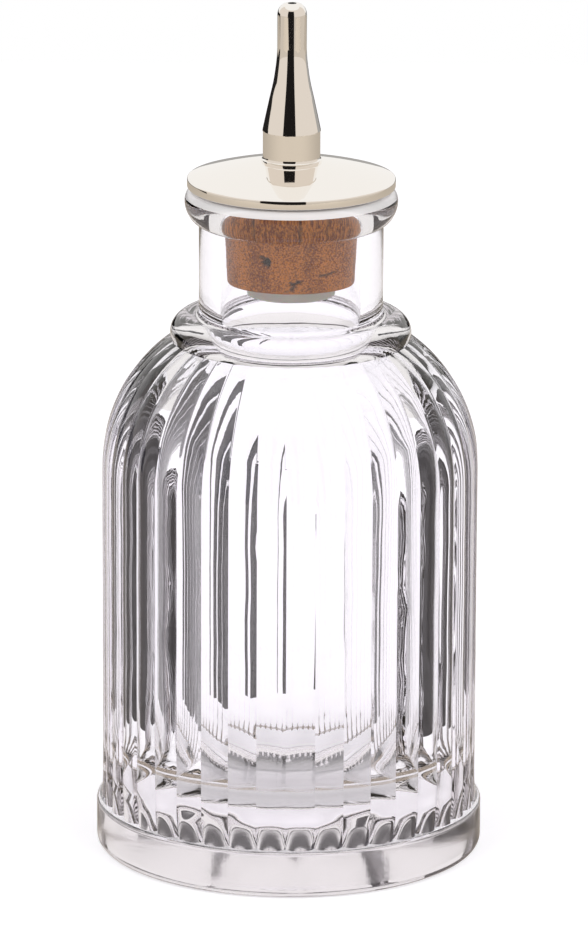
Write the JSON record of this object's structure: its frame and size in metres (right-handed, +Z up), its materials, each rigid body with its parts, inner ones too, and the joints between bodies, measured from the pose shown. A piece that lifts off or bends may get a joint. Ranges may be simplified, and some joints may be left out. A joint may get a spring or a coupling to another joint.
{
  "type": "bitters bottle",
  "caption": "Ribbed clear glass dasher bottle with a foot flange, closed by a cork that carries a domed metal plate and a tapered pouring spout.",
  "frame": {"origin": "middle of the foot, in the plane that stands on the table", "axes": "+Z up along the bottle's axis, towards the spout's tip; -Y is the side that faces the viewer in the picture; +X to the viewer's right"},
  "size_m": [0.064, 0.064, 0.1425],
  "materials": {
    "clear_glass": "pressed and fire-polished, clear",
    "natural_cork": "turned natural cork, open grain",
    "polished_metal": "turned and polished, nickel plated",
    "translucent_plastic": "moulded, milky and translucent"
  },
  "bodies": {
    "bottle": {"glass_bottle": "clear_glass"},
    "stopper": {"cork_stopper": "natural_cork", "dasher_sleeve": "translucent_plastic"},
    "cap": {"cap_plate": "polished_metal"},
    "spout": {"pouring_spout": "polished_metal"}
  },
  "joints": [
    {"name": "stopper_lift", "type": "slide", "parent": "bottle", "child": "stopper", "axis": [0, 0, 1], "range_m": [0, 0.045]},
    {"name": "cap_turn", "type": "hinge", "parent": "stopper", "child": "cap", "pos_m": [0, 0, 0.112], "axis": [0, 0, 1], "range_deg": [0, 1800]},
    {"name": "spout_unscrew", "type": "slide", "parent": "cap", "child": "spout", "axis": [0, 0, 1], "range_m": [0, 0.0075]}
  ],
  "couplings": [
    {"joint": "spout_unscrew", "follows": "cap_turn", "m_per_rad": 0.00023873}
  ]
}
